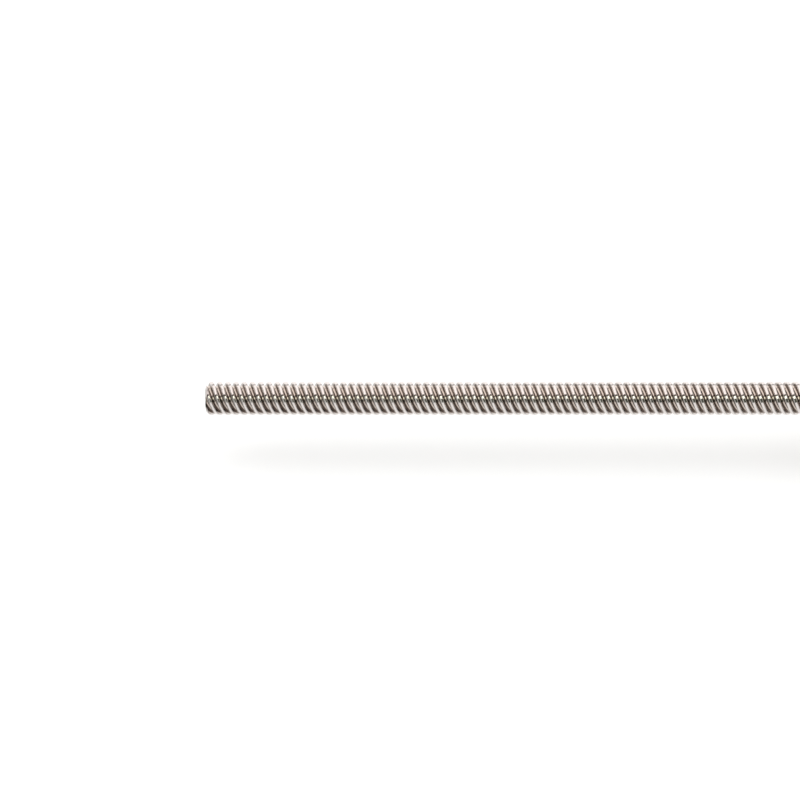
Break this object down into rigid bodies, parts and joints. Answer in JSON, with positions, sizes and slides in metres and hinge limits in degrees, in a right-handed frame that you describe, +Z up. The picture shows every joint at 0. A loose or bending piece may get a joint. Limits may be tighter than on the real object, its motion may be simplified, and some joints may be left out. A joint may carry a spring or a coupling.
{
  "type": "lead screw assembly",
  "caption": "Multi-start trapezoidal lead screw held at one end in a pillow block bearing, with a sprung anti-backlash nut on a bracket and a beam coupling.",
  "frame": {"origin": "underside of the pillow block's foot, below the centre of the bearing", "axes": "+X along the screw from its free end to the motor end, +Z up, out of the foot; the screw's axis is 15 mm up"},
  "size_m": [0.266, 0.055, 0.031],
  "materials": {
    "screw_steel": "rolled and polished stainless steel",
    "bearing_steel": "ground bearing steel",
    "shield_steel": "pressed sheet steel",
    "ball_steel": "polished",
    "cage_steel": "pressed steel",
    "black_steel": "black oxide",
    "collar_steel": "turned, nickel plated",
    "coupling_aluminium": "turned",
    "nut_brass": "turned",
    "spring_steel": "drawn wire",
    "bracket_aluminium": "milled and bead blasted",
    "housing_alloy": "die cast zinc alloy, tumbled"
  },
  "bodies": {
    "support": {"bearing_housing": "housing_alloy", "bearing_outer_ring": "bearing_steel", "bearing_shield_nut_side": "shield_steel", "bearing_shield_motor_side": "shield_steel"},
    "cage": {"ball_cage": "cage_steel", "bearing_balls": "ball_steel"},
    "screw": {"lead_screw": "screw_steel", "bearing_inner_ring": "bearing_steel", "inner_ring_set_screws": "black_steel", "lock_collar": "collar_steel", "lock_collar_set_screw": "black_steel", "coupling_body": "coupling_aluminium", "coupling_screws_screw_side": "black_steel", "coupling_screws_motor_side": "black_steel"},
    "nut": {"flange_nut": "nut_brass", "backlash_spring": "spring_steel", "follower_nut": "nut_brass", "nut_bracket": "bracket_aluminium", "nut_screws": "black_steel"}
  },
  "joints": [
    {"name": "nut_travel", "type": "slide", "parent": "support", "child": "nut", "axis": [1, 0, 0], "range_m": [-0.144, 0.008]},
    {"name": "screw_spin", "type": "hinge", "parent": "support", "child": "screw", "pos_m": [0, 0, 0.015], "axis": [1, 0, 0], "range_deg": [-361, 6481]},
    {"name": "cage_spin", "type": "hinge", "parent": "support", "child": "cage", "pos_m": [0, 0, 0.015], "axis": [1, 0, 0], "range_deg": [-135, 2395.98]}
  ],
  "couplings": [
    {"joint": "screw_spin", "follows": "nut_travel", "rad_per_m": -785.4},
    {"joint": "cage_spin", "follows": "nut_travel", "rad_per_m": -290.16}
  ]
}
